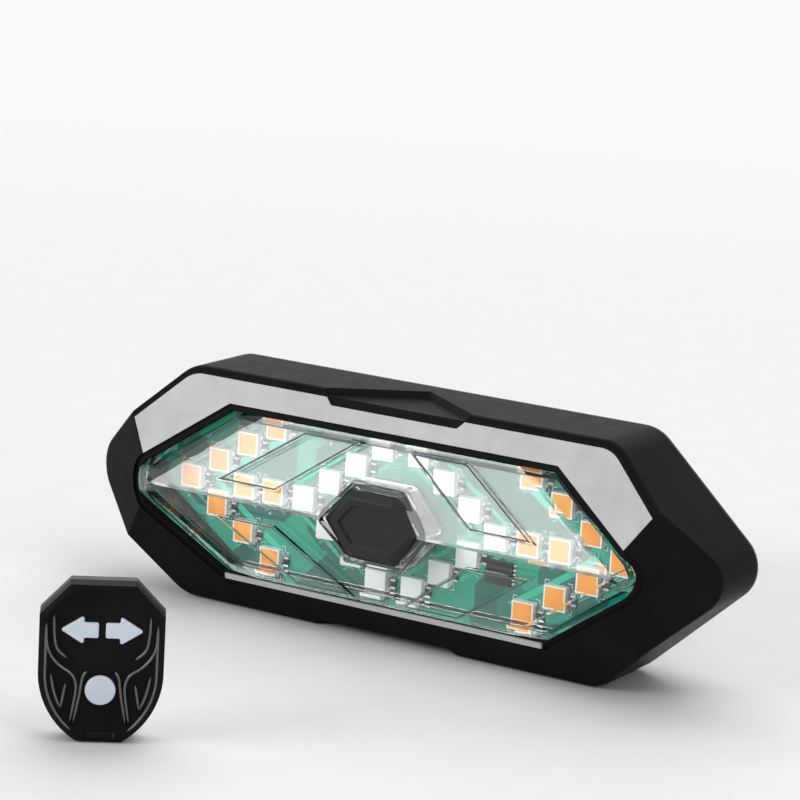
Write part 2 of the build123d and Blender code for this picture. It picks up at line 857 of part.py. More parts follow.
def strap():
    """Rubber belt round the back of the post, with an eye at each end and a pull tab."""
    inner = post_radius + strap_post_gap
    belt = ring_sector(inner, inner + strap_thickness, 90, 180 - eye_angle)
    for side in (1, -1):
        belt += Pos(*eye_centre(side)) * Circle(eye_radius)
    x, y = eye_centre(1)
    tab = [(x + tab_reach / 2, y), (x + tab_reach, y - tab_reach)]
    tab.append((x + tab_reach, y - tab_reach - tab_length))
    belt += capsule(tab[0], tab[1], tab_half_thickness)
    belt += capsule(tab[1], tab[2], tab_half_thickness)
    for side in (1, -1):
        belt -= Pos(*eye_centre(side)) * Circle(pin_radius + pin_gap)
    return round_post(belt, strap_width)


def layer(sketch, front, back):
    """Sketch of the remote's front view, made solid between two depths behind its face."""
    plane = Plane(origin=(0, back, 0), x_dir=(1, 0, 0), z_dir=(0, -1, 0))
    return extrude(plane * sketch, back - front)


def remote_outline(inset=0.0):
    """Shield outline with a flat lower end; the curved sides are drawn at once with their inset."""
    corner = (remote_half_base, 0)
    curve = (remote_half_width, remote_curve_start)
    shoulder = (remote_half_width, remote_shoulder)
    top = (remote_half_top, remote_height)
    right = [TangentArc(curve, corner, tangent=(0, -1)), Line(curve, shoulder), Line(shoulder, top)]
    left = [mirror(edge, about=Plane.YZ) for edge in right]
    ends = [Line(top, (-remote_half_top, remote_height)), Line(corner, (-remote_half_base, 0))]
    outline = make_face(right + left + ends)
    return offset(outline, -inset, kind=Kind.INTERSECTION) if inset else outline


def remote_cavity(extra=0.0):
    inner = remote_outline(remote_wall + extra)
    low = remote_solid_end + extra
    window = Pos(0, low + remote_height / 2) * Rectangle(2 * remote_half_width, remote_height)
    return inner & window


def arrow_sketch(side, grow=0.0):
    points = [
        (arrow_tip, 0), (arrow_head_back, arrow_head_half), (arrow_head_back, arrow_shaft_half),
        (arrow_shaft_end, arrow_shaft_half), (arrow_shaft_end, -arrow_shaft_half),
        (arrow_head_back, -arrow_shaft_half), (arrow_head_back, -arrow_head_half),
    ]
    points = [(side * x, arrow_height + z) for x, z in points]
    if grow > key_gap:
        return offset(make_face(Polyline(*points, close=True)), grow, kind=Kind.INTERSECTION)
    arrow = make_face(FilletPolyline(*points, radius=arrow_corner_radius, close=True))
    return offset(arrow, grow) if grow else arrow


def round_key_sketch(grow=0.0):
    return Pos(0, round_key_height) * Circle(round_key_radius + grow)


def key_sketches(grow=0.0):
    return [arrow_sketch(-1, grow), arrow_sketch(1, grow), round_key_sketch(grow)]


def key_places():
    return [(-arrow_stem_place, arrow_height), (arrow_stem_place, arrow_height), (0, round_key_height)]


def screw_heights():
    return [cell_height + side * remote_screw_offset for side in (1, -1)]


def slot_sketch():
    return Pos(0, remote_slot_height) * RectangleRounded(*remote_slot, remote_slot[1] / 2.2)


def remote_ribs():
    """Thin raised lines, drawn for the right side and mirrored to the left."""
    ribs = []
    for shares in rib_line_shares:
        points = [(x * remote_half_width, z * remote_height) for x, z in shares]
        lines = offset(Polyline(*points), remote_rib_width / 2, kind=Kind.INTERSECTION, side=Side.BOTH)
        rib = make_face(lines.edges())
        ribs += [rib, mirror(rib, about=Plane.YZ)]
    return ribs


def remote_top_shell():
    body = layer(remote_outline(), 0, parting_y)
    body = chamfer(body.faces().sort_by(Axis.Y)[0].edges(), remote_bevel)
    for rib in remote_ribs():
        body += layer(rib, -remote_rib_height, remote_wall / 2)
    body -= layer(remote_cavity(), remote_wall, parting_y + overrun)
    for sketch in key_sketches(key_gap):
        body -= layer(sketch, -overrun, remote_wall + overrun)
    body -= layer(slot_sketch(), -overrun, parting_y + overrun)
    for z in screw_heights():
        boss = Pos(0, z) * Circle(remote_boss_radius)
        body += layer(boss, remote_wall, remote_board_y)
        hole = Pos(0, z) * Circle(remote_screw_radius + thread_gap)
        body -= layer(hole, remote_board_y - remote_screw_bite, parting_y + overrun)
    return body


def key_body(index):
    place = key_places()[index]
    cap = layer(key_sketches()[index], -key_proud, flange_front_y)
    cap = chamfer(cap.faces().sort_by(Axis.Y)[0].edges(), key_edge_radius)
    flange_back = flange_front_y + key_flange_thickness
    cap += layer(key_sketches(key_flange_width)[index], flange_front_y, flange_back)
    return cap + layer(Pos(*place) * Circle(key_stem_radius), flange_back, stem_end_y)


def remote_switches():
    switches = []
    for place in key_places():
        base = layer(Pos(*place) * Rectangle(tact_size, tact_size), tact_front_y, remote_board_y)
        cap_front = tact_front_y - tact_cap_height
        switches.append(base + layer(Pos(*place) * Circle(tact_cap_radius), cap_front, tact_front_y))
    return group(switches)


def remote_board():
    board = remote_cavity(remote_board_gap)
    for z in screw_heights():
        board -= Pos(0, z) * Circle(remote_screw_radius + screw_gap)
    return layer(board, remote_board_y, parting_y)


def cell_disc(radius):
    return Pos(0, cell_height) * Circle(radius)


def coin_cell():
    step_y = cell_y + cell_step
    cap = layer(cell_disc(cell_cap_radius), cell_y, step_y)
    return cap + layer(cell_disc(cell_radius), step_y, cell_y + cell_thickness)


def cell_contact():
    plate = Rectangle(*contact_size) - Rectangle(*contact_slot)
    return layer(Pos(0, cell_height) * plate, parting_y, parting_y + contact_thickness)


def door_lugs(grow, half_angle, turn):
    """Two lugs on opposite sides of the door, or the room that they need."""
    reach = door_radius + door_lug_reach + grow
    lugs = [ring_sector(door_radius / 2, reach, turn + middle, half_angle) for middle in (0, 180)]
    return Pos(0, cell_height) * (lugs[0] + lugs[1])


def lug_span():
    front = door_y + door_lug_gap
    return front, front + door_lug_thickness


def battery_door():
    lug_front, lug_back = lug_span()
    door = layer(cell_disc(door_radius), door_y, remote_depth)
    door += layer(door_lugs(0, door_lug_half_angle, 0), lug_front, lug_back)
    slot = Pos(0, cell_height) * RectangleRounded(*coin_slot, coin_slot[1] / 2.2)
    return door - layer(slot, remote_depth - coin_slot_depth, remote_depth + overrun)


def door_seal():
    ring = cell_disc(door_radius) - cell_disc(cell_radius + well_gap)
    return layer(ring, door_step_y, door_y)


def remote_back_shell():
    body = layer(remote_outline(), parting_y, remote_depth)
    body = chamfer(body.faces().sort_by(Axis.Y)[-1].edges(), remote_back_chamfer)
    body -= layer(remote_cavity(), parting_y - overrun, remote_depth - remote_wall)
    body += layer(cell_disc(well_outer_radius), parting_y, remote_depth)
    body -= layer(cell_disc(cell_radius + well_gap), parting_y - overrun, door_step_y)
    body -= layer(cell_disc(door_radius + door_gap), door_step_y, remote_depth + overrun)
    lug_front, lug_back = lug_span()
    room = cell_disc(door_radius + door_lug_reach + door_gap)
    body -= layer(room, lug_front - door_lug_gap, lug_back + door_lug_gap)
    entry = door_lugs(door_gap, door_entry_half_angle, door_turn_deg)
    body -= layer(entry, lug_front - door_lug_gap, remote_depth + overrun)
    seat = remote_depth - screw_sink - remote_screw_head_height
    for z in screw_heights():
        shaft, head = [Circle(r + screw_gap) for r in (remote_screw_radius, remote_screw_head_radius)]
        body += layer(Pos(0, z) * Circle(remote_boss_radius), parting_y, remote_depth)
        body -= layer(Pos(0, z) * shaft, parting_y - overrun, seat)
        body -= layer(Pos(0, z) * head, seat, remote_depth + overrun)
    return body - layer(slot_sketch(), parting_y - overrun, remote_depth + overrun)


def remote_screws():
    seat = remote_depth - screw_sink - remote_screw_head_height
    screws = []
    for z in screw_heights():
        shaft = layer(Pos(0, z) * Circle(remote_screw_radius), remote_board_y - remote_screw_bite, seat)
        head = layer(Pos(0, z) * Circle(remote_screw_head_radius), seat, seat + remote_screw_head_height)
        groove = Pos(0, z) * Rectangle(2 * remote_screw_head_radius, remote_screw_radius / 2)
        screws.append(shaft + head - layer(groove, seat + remote_screw_head_height / 2, remote_depth))
    return group(screws)


def placed(shape):
    """Remote piece moved from its own frame to its place in front of the light."""
    return Pos(*remote_place) * Rot(0, 0, remote_turn_deg) * shape


pieces = {
    "front_bezel": front_bezel(),
    "upper_trim": upper_trim(),
    "lower_trim": lower_trim(),
    "lens": lens(),
    "lens_gasket": lens_gasket(),
    "power_button": power_button(),
    "switch_plunger": switch_plunger(),
    "button_switch": button_switch(),
    "led_board": led_board(),
    "amber_leds": group(diode(x, z) for x, z in amber_places()),
    "white_leds": group(diode(x, z) for x, z in white_places()),
    "resistors": resistors(),
    "control_chip": control_chip(),
    "radio_module": radio_module(),
    "battery": battery(),
    "battery_foam": battery_foam(),
    "battery_plug": battery_plug(),
    "battery_wires": battery_wires(),
    "charge_board": charge_board(),
    "board_header": board_header(),
    "usb_socket": usb_socket(),
    "usb_tongue": usb_tongue(),
    "usb_cover": usb_cover(),
    "rear_housing": rear_housing(),
    "housing_seal": housing_seal(),
    "rear_screws": rear_screws(),
    "mount_bracket": mount_bracket(),
    "saddle_pad": saddle_pad(),
    "strap": strap(),
    "strap_pins": strap_pins(),
    "remote_top_shell": placed(remote_top_shell()),
    "remote_back_shell": placed(remote_back_shell()),
    "left_arrow_key": placed(key_body(0)),
    "right_arrow_key": placed(key_body(1)),
    "round_key": placed(key_body(2)),
    "remote_switches": placed(remote_switches()),
    "remote_board": placed(remote_board()),
    "coin_cell": placed(coin_cell()),
    "cell_contact": placed(cell_contact()),
    "battery_door": placed(battery_door()),
    "door_seal": placed(door_seal()),
    "remote_screws": placed(remote_screws()),
}

os.makedirs("parts", exist_ok=True)
for name, piece in pieces.items():
    export_step(piece, "parts/" + name + ".step")
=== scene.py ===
import json
import math

import bpy
import bmesh
from mathutils import Matrix, Vector


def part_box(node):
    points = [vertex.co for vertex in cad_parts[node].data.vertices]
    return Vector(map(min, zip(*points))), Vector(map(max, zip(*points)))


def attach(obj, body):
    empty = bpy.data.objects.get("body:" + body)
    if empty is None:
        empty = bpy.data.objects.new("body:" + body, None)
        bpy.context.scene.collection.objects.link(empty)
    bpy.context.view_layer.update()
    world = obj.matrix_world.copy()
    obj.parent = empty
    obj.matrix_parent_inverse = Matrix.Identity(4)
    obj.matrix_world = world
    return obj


# Looks of the turn signal light and its remote: materials, fine pieces, studio and camera.
# Lengths are in metres, and MM turns a size in millimetres into metres.
# The CAD nodes keep their shapes and places.

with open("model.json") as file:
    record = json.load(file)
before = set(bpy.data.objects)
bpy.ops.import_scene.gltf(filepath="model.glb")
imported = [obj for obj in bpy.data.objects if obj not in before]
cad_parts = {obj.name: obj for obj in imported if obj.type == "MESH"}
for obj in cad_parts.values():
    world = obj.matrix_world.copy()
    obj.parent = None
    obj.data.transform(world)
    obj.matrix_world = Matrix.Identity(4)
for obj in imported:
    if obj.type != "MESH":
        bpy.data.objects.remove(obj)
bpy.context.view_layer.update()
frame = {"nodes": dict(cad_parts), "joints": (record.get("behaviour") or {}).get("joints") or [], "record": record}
nodes = frame["nodes"]
MM = 0.001


# Helpers for shader nodes
def new_material(name):
    made = bpy.data.materials.new(name)
    made.use_nodes = True
    return made, made.node_tree, made.node_tree.nodes["Principled BSDF"]


def node(tree, kind, values=None, **settings):
    made = tree.nodes.new(kind)
    for key, value in settings.items():
        setattr(made, key, value)
    for key, value in (values or {}).items():
        made.inputs[key].default_value = value
    return made


def place(tree):
    """Coordinates in the object's own frame, in metres."""
    return node(tree, "ShaderNodeTexCoord").outputs["Object"]


def stretched(tree, scale):
    """The same coordinates, scaled along each axis."""
    made = node(tree, "ShaderNodeMapping", {"Scale": scale})
    tree.links.new(place(tree), made.inputs["Vector"])
    return made.outputs["Vector"]


def noise(tree, scale, detail=3.0, rough=0.5, source=None):
    made = node(tree, "ShaderNodeTexNoise", {"Scale": scale, "Detail": detail, "Roughness": rough})
    tree.links.new(source or place(tree), made.inputs["Vector"])
    return made.outputs["Fac"]


def cells(tree, source, scale, randomness, **settings):
    values = {"Scale": scale, "Randomness": randomness}
    made = node(tree, "ShaderNodeTexVoronoi", values, **settings)
    tree.links.new(source, made.inputs["Vector"])
    return made


def span(tree, fac, low, high, start=0.3, end=0.7):
    """Number from low to high as fac goes from start to end."""
    made = node(tree, "ShaderNodeMapRange")
    for key, value in (("From Min", start), ("From Max", end), ("To Min", low), ("To Max", high)):
        made.inputs[key].default_value = value
    tree.links.new(fac, made.inputs["Value"])
    return made.outputs["Result"]


def blend_colors(tree, fac, first, second):
    """Colour that goes from the first to the second, each a plain colour or an output, as fac rises."""
    made = node(tree, "ShaderNodeMix", data_type="RGBA")
    tree.links.new(fac, made.inputs["Factor"])
    for key, value in (("A", first), ("B", second)):
        socket = [s for s in made.inputs if s.name == key and s.type == "RGBA"][0]
        if isinstance(value, tuple):
            socket.default_value = (*value, 1.0)
        else:
            tree.links.new(value, socket)
    return [s for s in made.outputs if s.type == "RGBA"][0]


def blend_shaders(tree, fac, first, second):
    """Surface that goes from the first shader to the second as fac rises."""
    made = node(tree, "ShaderNodeMixShader")
    tree.links.new(fac, made.inputs["Fac"])
    tree.links.new(first, made.inputs[1])
    tree.links.new(second, made.inputs[2])
    tree.links.new(made.outputs["Shader"], tree.nodes["Material Output"].inputs["Surface"])


def tint(tree, shader, pattern, dark, light):
    """Base colour that follows a pattern."""
    tones = blend_colors(tree, span(tree, pattern, 0.0, 1.0), dark, light)
    tree.links.new(tones, shader.inputs["Base Color"])


def gloss(tree, shader, pattern, rough):
    """Roughness that follows a pattern, between two values."""
    tree.links.new(span(tree, pattern, *rough), shader.inputs["Roughness"])


def bump(tree, shader, height, distance, strength=1.0, below=None):
    made = node(tree, "ShaderNodeBump", {"Strength": strength, "Distance": distance})
    tree.links.new(height, made.inputs["Height"])
    if below:
        tree.links.new(below, made.inputs["Normal"])
    tree.links.new(made.outputs["Normal"], shader.inputs["Normal"])


def settle(shader, **values):
    """Set numbers that are the same all over the surface."""
    names = {
        "metal": "Metallic", "spec": "Specular IOR Level", "ior": "IOR", "coat": "Coat Weight",
        "coat_rough": "Coat Roughness", "clear": "Transmission Weight", "soft": "Subsurface Weight",
        "soft_scale": "Subsurface Scale",
    }
    for key, value in values.items():
        shader.inputs[names[key]].default_value = value


# Recipes for surfaces, with grain, grain size and rounded edge in millimetres
def moulded(name, dark, light, rough, grain=0.0, grain_size=0.0, edge=0.0, **values):
    """Moulded plastic, rubber or paint: faint clouding, uneven gloss, a fine grain and soft edges."""
    made, tree, shader = new_material(name)
    tint(tree, shader, noise(tree, scale=90.0), dark, light)
    gloss(tree, shader, noise(tree, scale=240.0, detail=5.0, rough=0.65), rough)
    rounded = None
    if edge:
        rounded = node(tree, "ShaderNodeBevel", {"Radius": edge * MM}, samples=6).outputs["Normal"]
    if grain:
        pattern = noise(tree, scale=1.0 / (grain_size * MM), detail=2.0)
        bump(tree, shader, pattern, distance=grain * MM, below=rounded)
    settle(shader, **values)
    return made


def brushed(name, dark, light, rough=(0.25, 0.4), stretch=(40.0, 900.0, 900.0)):
    """Metal with fine brushing along the axis of the smallest stretch, or a grain where all are alike."""
    made, tree, shader = new_material(name)
    lines = noise(tree, scale=2.0, detail=4.0, rough=0.6, source=stretched(tree, stretch))
    tint(tree, shader, lines, dark, light)
    gloss(tree, shader, noise(tree, scale=150.0), rough)
    bump(tree, shader, lines, distance=0.01 * MM, strength=0.4)
    settle(shader, metal=1.0)
    return made


def clear_plastic(name, color, shadow_color):
    """Clear moulded lens with faint flow marks. It casts almost no shadow, so light reaches the board."""
    made, tree, shader = new_material(name)
    shader.inputs["Base Color"].default_value = (*color, 1.0)
    gloss(tree, shader, noise(tree, scale=300.0, detail=4.0), (0.0, 0.012))
    bump(tree, shader, noise(tree, scale=120.0, detail=2.0), distance=0.012 * MM, strength=0.4)
    settle(shader, clear=1.0, ior=1.46)
    shadow = node(tree, "ShaderNodeLightPath").outputs["Is Shadow Ray"]
    through = node(tree, "ShaderNodeBsdfTransparent", {"Color": (*shadow_color, 1.0)})
    blend_shaders(tree, shadow, shader.outputs["BSDF"], through.outputs["BSDF"])
    return made


def circuit(name, bare, poured, plating):
    """Green solder mask over angular areas of poured copper, with small plated holes."""
    made, tree, shader = new_material(name)
    flat = stretched(tree, (1.0, 0.0, 1.0))
    tone = node(tree, "ShaderNodeSeparateColor")
    areas = cells(tree, flat, scale=95.0, randomness=0.9, distance="MANHATTAN")
    tree.links.new(areas.outputs["Color"], tone.inputs["Color"])
    copper_fac = span(tree, tone.outputs["Red"], 0.0, 1.0, start=0.45, end=0.55)
    dots = cells(tree, flat, scale=200.0, randomness=0.85)
    hole_fac = span(tree, dots.outputs["Distance"], 1.0, 0.0, start=0.06, end=0.075)
    green = blend_colors(tree, copper_fac, bare, poured)
    tree.links.new(blend_colors(tree, hole_fac, green, plating), shader.inputs["Base Color"])
    gloss(tree, shader, noise(tree, scale=400.0), (0.28, 0.4))
    bump(tree, shader, copper_fac, distance=0.02 * MM, strength=0.5)
    settle(shader, coat=0.3, coat_rough=0.2)
    return made


# Black plastics and rubbers
shell = moulded("shell_gloss_black", (0.007, 0.007, 0.008), (0.010, 0.010, 0.011),
                rough=(0.34, 0.42), grain=0.004, grain_size=1.6, edge=0.3, spec=0.02)
back = moulded("moulded_black", (0.013, 0.013, 0.014), (0.022, 0.022, 0.023),
               rough=(0.42, 0.55), grain=0.02, grain_size=0.35, edge=0.25, spec=0.4)
inner_black = moulded("dark_plastic", (0.012, 0.012, 0.013), (0.02, 0.02, 0.021),
                      rough=(0.4, 0.5), grain=0.01, grain_size=0.3)
# The ridges are the shell's black plastic with a lighter base colour, which is a painted highlight along the ridge
# lines; their gloss and high specular are real.
ridge = moulded("ridge_black_painted_highlight", (0.04, 0.04, 0.042), (0.055, 0.055, 0.058),
                rough=(0.14, 0.2), grain=0.004, grain_size=0.8, spec=1.0)
rubber = moulded("soft_rubber", (0.012, 0.012, 0.012), (0.022, 0.022, 0.022),
                 rough=(0.6, 0.75), grain=0.015, grain_size=0.25, spec=0.35)
button = moulded("button_rubber", (0.010, 0.011, 0.011), (0.016, 0.017, 0.018),
                 rough=(0.32, 0.42), grain=0.008, grain_size=0.2, edge=0.35, spec=0.3)
foam = moulded("foam_black", (0.025, 0.025, 0.026), (0.06, 0.06, 0.062),
               rough=(0.85, 0.95), grain=0.12, grain_size=0.5, spec=0.2)

# Silver trims, and the lens with its panel borders
silver = moulded("satin_silver", (0.36, 0.36, 0.37), (0.40, 0.40, 0.41),
                 rough=(0.42, 0.5), grain=0.003, grain_size=0.12, metal=0.25)
# The lower trim has the same silver as the upper one, made lighter here: the extra brightness of its downward face
# is painted light.
silver_painted_lighter = moulded("silver_painted_lighter", (0.55, 0.55, 0.56), (0.60, 0.60, 0.61),
                        rough=(0.4, 0.48), grain=0.003, grain_size=0.12, metal=0.25)
lens = clear_plastic("lens_clear", color=(0.975, 0.995, 0.988), shadow_color=(0.985, 0.995, 0.99))
# The panel borders are clear lens plastic tinted dark grey: the dark tone is painted shade for the dark lines at
# the panel edges, while their gloss is real.
border = moulded("border_painted_shade", (0.10, 0.12, 0.12), (0.17, 0.19, 0.19),
                 rough=(0.1, 0.2), grain=0.004, grain_size=0.4, clear=0.35, ior=1.46)

# Board and what is on it
board = circuit("solder_mask_green", bare=(0.0, 0.12, 0.088), poured=(0.0, 0.30, 0.205),
                plating=(0.45, 0.52, 0.42))
copper = moulded("masked_copper", (0.02, 0.46, 0.31), (0.03, 0.54, 0.37),
                 rough=(0.25, 0.35), grain=0.003, grain_size=0.3, coat=0.3)
marking = moulded("marking_white", (0.62, 0.64, 0.62), (0.72, 0.74, 0.72),
                  rough=(0.5, 0.6), grain=0.003, grain_size=0.1)
led_case = moulded("led_frame_white", (0.80, 0.81, 0.80), (0.86, 0.87, 0.86),
                   rough=(0.3, 0.42), grain=0.004, grain_size=0.2)
amber = moulded("amber_resin", (1.0, 0.33, 0.02), (1.0, 0.42, 0.045),
                rough=(0.15, 0.25), grain=0.004, grain_size=0.5, coat=0.6, soft=0.3, soft_scale=0.001)
phosphor = moulded("white_resin", (0.86, 0.88, 0.87), (0.92, 0.93, 0.91),
                   rough=(0.15, 0.25), grain=0.004, grain_size=0.5, coat=0.6, soft=0.3, soft_scale=0.001)
chip = moulded("chip_epoxy", (0.010, 0.010, 0.011), (0.018, 0.018, 0.019),
               rough=(0.45, 0.6), grain=0.01, grain_size=0.15)

# Keys, plug and wires
key_silicone = moulded("key_silicone", (0.58, 0.64, 0.72), (0.66, 0.72, 0.80),
                       rough=(0.3, 0.42), grain=0.004, grain_size=0.25, soft=0.5, soft_scale=0.002)
ivory = moulded("plug_ivory", (0.70, 0.68, 0.60), (0.78, 0.76, 0.69),
                rough=(0.35, 0.45), grain=0.006, grain_size=0.3)
red_wire = moulded("wire_red", (0.42, 0.012, 0.010), (0.50, 0.02, 0.016),
                   rough=(0.35, 0.45), grain=0.006, grain_size=0.3)

# Metals
steel = brushed("brushed_steel", (0.45, 0.45, 0.46), (0.62, 0.62, 0.63))
gold = brushed("plated_brass", (0.62, 0.42, 0.14), (0.80, 0.58, 0.24))
solder = brushed("solder", (0.55, 0.56, 0.57), (0.75, 0.76, 0.77),
                 rough=(0.2, 0.35), stretch=(300.0, 300.0, 300.0))
foil = brushed("pouch_foil", (0.48, 0.49, 0.51), (0.60, 0.61, 0.63),
               rough=(0.3, 0.45), stretch=(90.0, 90.0, 90.0))

finishes = {
    "front_bezel": shell, "upper_trim": silver, "lower_trim": silver_painted_lighter, "lens": lens,
    "lens_gasket": rubber, "power_button": button, "switch_plunger": inner_black,
    "button_switch": inner_black, "led_board": board, "amber_leds": led_case, "white_leds": led_case,
    "resistors": chip, "control_chip": chip, "radio_module": steel, "battery": foil,
    "battery_foam": foam, "battery_plug": ivory, "battery_wires": red_wire, "charge_board": board,
    "board_header": gold, "usb_socket": steel, "usb_tongue": inner_black, "usb_cover": rubber,
    "rear_housing": back, "housing_seal": rubber, "rear_screws": steel, "mount_bracket": back,
    "saddle_pad": rubber, "strap": rubber, "strap_pins": steel, "remote_top_shell": shell,
    "remote_back_shell": back, "left_arrow_key": key_silicone, "right_arrow_key": key_silicone,
    "round_key": key_silicone, "remote_switches": inner_black, "remote_board": board,
    "coin_cell": steel, "cell_contact": steel, "battery_door": back, "door_seal": rubber,
    "remote_screws": steel,
}
for name, finish in finishes.items():
    nodes[name].data.materials.clear()
    nodes[name].data.materials.append(finish)

# Helpers for pieces: points nearer than same_point are one, and solids are sorted to sort_digits
same_point, sort_digits = 1e-6, 5
board_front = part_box("led_board")[0].y


def add_piece(name, work, material, body, turn_outwards=True):
    """Make a bmesh into a piece that rides on a body."""
    if turn_outwards:
        bmesh.ops.recalc_face_normals(work, faces=work.faces)
    mesh = bpy.data.meshes.new(name)
    work.to_mesh(mesh)
    work.free()
    mesh.materials.append(material)
    obj = bpy.data.objects.new(name, mesh)
    bpy.context.scene.collection.objects.link(obj)
    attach(obj, body)


def add_faces(work, spots, faces):
    """Faces over spots, each face a row of their numbers."""
    points = [work.verts.new(spot) for spot in spots]
    for face in faces:
        work.faces.new([points[index] for index in face])


def add_skin(work, rows, smooth=False):
    """Faces with four corners between neighbouring rows of points."""
    for low, high in zip(rows, rows[1:]):
        for step in range(len(low) - 1):
            face = work.faces.new((low[step], low[step + 1], high[step + 1], high[step]))
            face.smooth = smooth


def solids(name):
    """Low and high corners of the separate solids of a CAD node, found by their linked edges."""
    work = bmesh.new()
    work.from_mesh(nodes[name].data)
    bmesh.ops.remove_doubles(work, verts=work.verts, dist=same_point)
    left, found = set(work.verts), []
    while left:
        group, queue = [], [left.pop()]
        while queue:
            vert = queue.pop()
            group.append(vert.co.copy())
            for edge in vert.link_edges:
                other = edge.other_vert(vert)
                if other in left:
                    left.remove(other)
                    queue.append(other)
        low = Vector([min(p[i] for p in group) for i in range(3)])
        high = Vector([max(p[i] for p in group) for i in range(3)])
        found.append((low, high))
    work.free()
    return sorted(found, key=lambda pair: tuple(round(v, sort_digits) for v in pair[0]))


# Resin in the diodes' dishes
resin_inset, resin_lift, resin_crown, resin_steps = 0.34 * MM, 0.02 * MM, 0.2 * MM, 6


def resin(name, source, material):
    """Domed fill over the dish of each diode, out to a thin white edge."""
    work = bmesh.new()
    shares = [2.0 * step / resin_steps - 1.0 for step in range(resin_steps + 1)]
    for low, high in solids(source):
        grid = []
        for v in shares:
            line = []
            for u in shares:
                x = (low.x + high.x) / 2 + u * ((high.x - low.x) / 2 - resin_inset)
                z = (low.z + high.z) / 2 + v * ((high.z - low.z) / 2 - resin_inset)
                rise = resin_crown * (1.0 - u * u) * (1.0 - v * v)
                line.append(work.verts.new((x, low.y - resin_lift - rise, z)))
            grid.append(line)
        add_skin(work, grid, smooth=True)
    add_piece(name, work, material, "light", turn_outwards=False)


resin("amber_fills", "amber_leds", amber)
resin("white_fills", "white_leds", phosphor)

# Solder wedges at the ends of the diodes and the chip, with their rows in millimetres from the middle
diode_rows, chip_rows = (-1.5, 0.0, 1.5), (-1.8, -0.9, 0.0, 0.9, 1.8)
wedge_reach, wedge_rise, wedge_toe, wedge_half = 0.45 * MM, 0.5 * MM, 0.05 * MM, 0.45 * MM
chip_rise_share, chip_half_share = 0.8, 0.5
wedge_faces = ((0, 1, 2, 3), (4, 7, 6, 5), (1, 5, 6, 2), (2, 6, 7, 3), (0, 4, 5, 1))

# Solder caps round the ends of the resistors
cap_overhang, cap_foot, cap_toe = 0.05 * MM, 0.5 * MM, 0.1 * MM
cap_skin, cap_wrap = 0.04 * MM, 0.4 * MM
cap_faces = ((0, 1, 6, 5), (1, 2, 7, 6), (2, 3, 8, 7), (3, 4, 9, 8), (4, 3, 2, 1, 0), (5, 6, 7, 8, 9))


def solder_joints(name, material):
    """Solder at the ends of the diodes, the chip and the resistors."""
    work = bmesh.new()
    wedges = (
        ("amber_leds", diode_rows, wedge_rise, wedge_half),
        ("white_leds", diode_rows, wedge_rise, wedge_half),
        ("control_chip", chip_rows, wedge_rise * chip_rise_share, wedge_half * chip_half_share),
    )
    for source, rows, rise, half in wedges:
        for low, high in solids(source):
            for side, x in ((-1, low.x), (1, high.x)):
                for row in rows:
                    z = (low.z + high.z) / 2 + row * MM
                    spots = []
                    for end in (z - half, z + half):
                        spots.append((x, board_front, end))
                        spots.append((x, board_front - rise, end))
                        spots.append((x + side * wedge_reach, board_front - wedge_toe, end))
                        spots.append((x + side * wedge_reach, board_front, end))
                    add_faces(work, spots, wedge_faces)
    for low, high in solids("resistors"):
        for side, z in ((-1, low.z), (1, high.z)):
            spots = []
            for x in (low.x - cap_overhang, high.x + cap_overhang):
                spots.append((x, board_front, z + side * cap_foot))
                spots.append((x, board_front - cap_toe, z + side * cap_foot))
                spots.append((x, low.y - cap_skin, z + side * cap_skin))
                spots.append((x, low.y - cap_skin, z - side * cap_wrap))
                spots.append((x, board_front, z - side * cap_wrap))
            add_faces(work, spots, cap_faces)
    add_piece(name, work, material, "light")


solder_joints("solder_joints", solder)

# Flat strips on the board: the share of their width on top, and the sharpest corner mitred in full
strip_top_share, sharpest_cosine = 0.8, 0.3


def strip(work, points, width, height):
    """Flat raised strip along points in the board's plane, with mitred corners."""
    rings = []
    for index, point in enumerate(points):
        before = (point - points[index - 1]).normalized() if index else None
        after = (points[index + 1] - point).normalized() if index + 1 < len(points) else None
        along = ((before or after) + (after or before)).normalized()
        side = Vector((-along.y, along.x))
        cosine = (before or after).dot(along)
        offset = side * (width / 2 / max(cosine, sharpest_cosine))
        ring = []
        for share, depth in ((-1, 0.0), (-strip_top_share, height), (strip_top_share, height), (1, 0.0)):
            edge = point + offset * share
            ring.append(work.verts.new((edge.x, board_front - depth, edge.y)))
        rings.append(ring)
    add_skin(work, rings)
    for ring in (rings[0], rings[-1]):
        work.faces.new(ring)


# Copper runs beside the arrows, with their places in millimetres from the arrow's tip
run_places = {"amber_leds": (-6.0, -5.2, -4.4, 4.6), "white_leds": (-6.0, -5.2, 5.0, 5.8)}
run_width, run_height, run_tip_half, run_trim_share = 0.42 * MM, 0.04 * MM, 1.0 * MM, 0.2

# Two short runs below every diode, each with a bend
stub_shift, stub_drop, stub_end_drop, stub_turn_share = 1.4 * MM, 0.7 * MM, 0.9 * MM, 0.8


def arrow(source):
    """Tip, middle height, slope and reach of the arrow of diodes at the right end."""
    centres = [((low.x + high.x) / 2, (low.z + high.z) / 2) for low, high in solids(source)]
    middle = sum(z for x, z in centres) / len(centres)
    tip = max(centres)[0]
    wing_z, wing_x = max((z, x) for x, z in centres if x > 0)
    return tip, middle, (tip - wing_x) / (wing_z - middle), wing_z - middle


